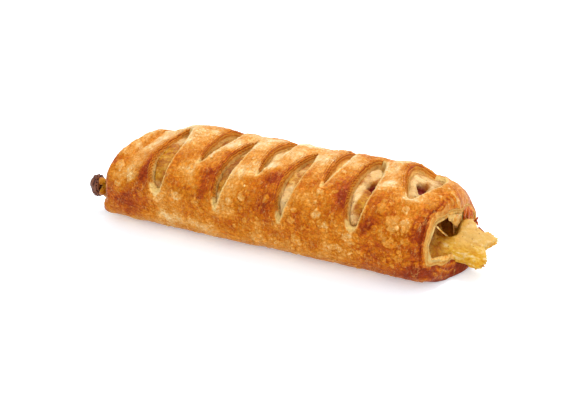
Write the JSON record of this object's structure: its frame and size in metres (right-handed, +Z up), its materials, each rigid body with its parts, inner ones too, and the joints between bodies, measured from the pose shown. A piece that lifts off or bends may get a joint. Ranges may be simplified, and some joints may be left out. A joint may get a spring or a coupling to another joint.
{
  "type": "apple pastry",
  "caption": "Log of browned puff pastry with staggered crosswise slits over apple filling, open at both ends, a torn tongue of filling at one end and a raisin at the other.",
  "frame": {"origin": "on the surface that the pastry rests on, under the middle of its bounding box", "axes": "+X along the log towards the torn tongue of filling, -Y the front with the fully seen row of slits, +Z up"},
  "size_m": [0.1929, 0.0667, 0.0384],
  "materials": {
    "crust": "baked puff pastry, egg-washed, golden brown with darker patches and pale cut layers",
    "apple_filling": "moist cooked apple, yellow, slightly translucent and grainy",
    "raisin": "wrinkled dark raisin with a dull gloss"
  },
  "bodies": {
    "root": {"crust": "crust", "apple_filling": "apple_filling", "raisin": "raisin"}
  },
  "joints": []
}
